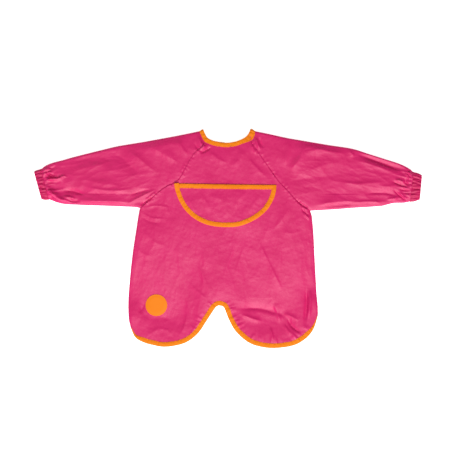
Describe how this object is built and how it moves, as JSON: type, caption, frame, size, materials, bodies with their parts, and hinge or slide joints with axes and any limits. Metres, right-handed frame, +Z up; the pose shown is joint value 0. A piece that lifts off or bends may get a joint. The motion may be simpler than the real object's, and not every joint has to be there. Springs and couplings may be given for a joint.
{
  "type": "artist smock apron",
  "caption": "Long-sleeved pull-on art smock lying flat, with raglan sleeves, gathered cuffs, a half-moon front pocket, a notched hem and contrast bindings.",
  "frame": {"origin": "on the floor under the middle of the lying garment's outline", "axes": "+X to the viewer's right across the sleeves, +Y from the hem to the neck, +Z up from the floor, out of the front"},
  "size_m": [0.7764, 0.4374, 0.0188],
  "materials": {
    "nylon": "satin",
    "binding": "satin",
    "badge": "satin",
    "elastic": "matte",
    "closure": "matte"
  },
  "bodies": {
    "smock": {"front_panel": "nylon", "back_panel_left": "nylon", "back_panel_right": "nylon", "left_sleeve_cap": "nylon", "right_sleeve_cap": "nylon", "neck_binding": "binding", "hem_binding": "binding", "back_edge_binding_left": "binding", "back_edge_binding_right": "binding", "pocket_panel": "nylon", "pocket_mouth_binding": "binding", "pocket_edge_binding": "binding", "badge": "badge", "hook_patch": "closure"},
    "left_arm": {"left_sleeve": "nylon", "left_cuff_casing": "nylon", "left_cuff_elastic": "elastic"},
    "right_arm": {"right_sleeve": "nylon", "right_cuff_casing": "nylon", "right_cuff_elastic": "elastic"},
    "tab": {"neck_tab": "nylon", "loop_patch": "closure"}
  },
  "joints": [
    {"name": "left_sleeve_fold", "type": "hinge", "parent": "smock", "child": "left_arm", "pos_m": [-0.184, 0.064, 0.016], "axis": [0.5, 0.866, 0], "range_deg": [0, 178]},
    {"name": "right_sleeve_fold", "type": "hinge", "parent": "smock", "child": "right_arm", "pos_m": [0.176, 0.058, 0.016], "axis": [0.5, -0.866, 0], "range_deg": [0, 178]},
    {"name": "neck_tab_peel", "type": "hinge", "parent": "smock", "child": "tab", "pos_m": [-0.036, 0.163, 0.0004], "axis": [0, 1, 0], "range_deg": [0, 170]}
  ]
}
